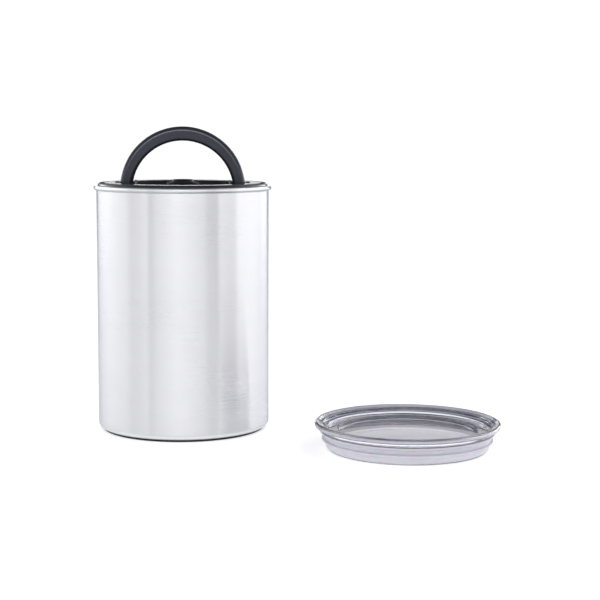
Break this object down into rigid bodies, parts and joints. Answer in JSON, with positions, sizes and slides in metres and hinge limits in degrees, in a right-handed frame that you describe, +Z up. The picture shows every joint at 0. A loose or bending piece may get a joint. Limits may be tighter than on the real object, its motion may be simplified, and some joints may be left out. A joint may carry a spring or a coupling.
{
  "type": "food canister",
  "caption": "Upright cylindrical metal canister with a plunger lid, half-round bail handle, air valve and a separate clear plastic outer lid lying beside it.",
  "frame": {"origin": "centre of the underside of the canister's base pad", "axes": "+Z up along the canister's axis; X along the handle's pivot axis; -Y is the front"},
  "size_m": [0.2854, 0.2105, 0.2205],
  "materials": {
    "steel": "fine horizontal brushing",
    "pad_rubber": "matt",
    "lid_plastic": "satin to gloss",
    "handle_plastic": "satin, very fine texture",
    "valve_plastic": "gloss",
    "seal_silicone": "satin",
    "pin_steel": "polished",
    "clear_plastic": "clear, polished",
    "clear_silicone": "translucent white"
  },
  "bodies": {
    "canister": {"canister_body": "steel", "base_pad": "pad_rubber"},
    "inner_lid": {"inner_lid_top": "lid_plastic", "inner_lid_base": "lid_plastic", "wiper_seal": "seal_silicone", "pivot_pin_left": "pin_steel", "pivot_pin_right": "pin_steel", "valve_seat": "lid_plastic", "valve_spring": "pin_steel"},
    "handle": {"handle": "handle_plastic"},
    "valve": {"valve_cap": "valve_plastic", "valve_disc": "seal_silicone", "valve_clip": "pin_steel"},
    "outer_lid": {"outer_lid_shell": "clear_plastic", "outer_lid_seal": "clear_silicone"}
  },
  "joints": [
    {"name": "inner_lid_slide", "type": "slide", "parent": "canister", "child": "inner_lid", "axis": [0, 0, 1], "range_m": [-0.152, 0.06]},
    {"name": "handle_hinge", "type": "hinge", "parent": "inner_lid", "child": "handle", "pos_m": [0, 0, 0.1749], "axis": [1, 0, 0], "range_deg": [-90, 90]},
    {"name": "valve_lift", "type": "slide", "parent": "inner_lid", "child": "valve", "axis": [0, 0, 1], "range_m": [0, 0.002], "stiffness_N_per_m": 60, "springref_m": -0.004, "deforming": ["valve_spring"]},
    {"name": "outer_lid_lift", "type": "slide", "parent": "canister", "child": "outer_lid", "axis": [0, 0, 1], "range_m": [0, 0.25]}
  ]
}
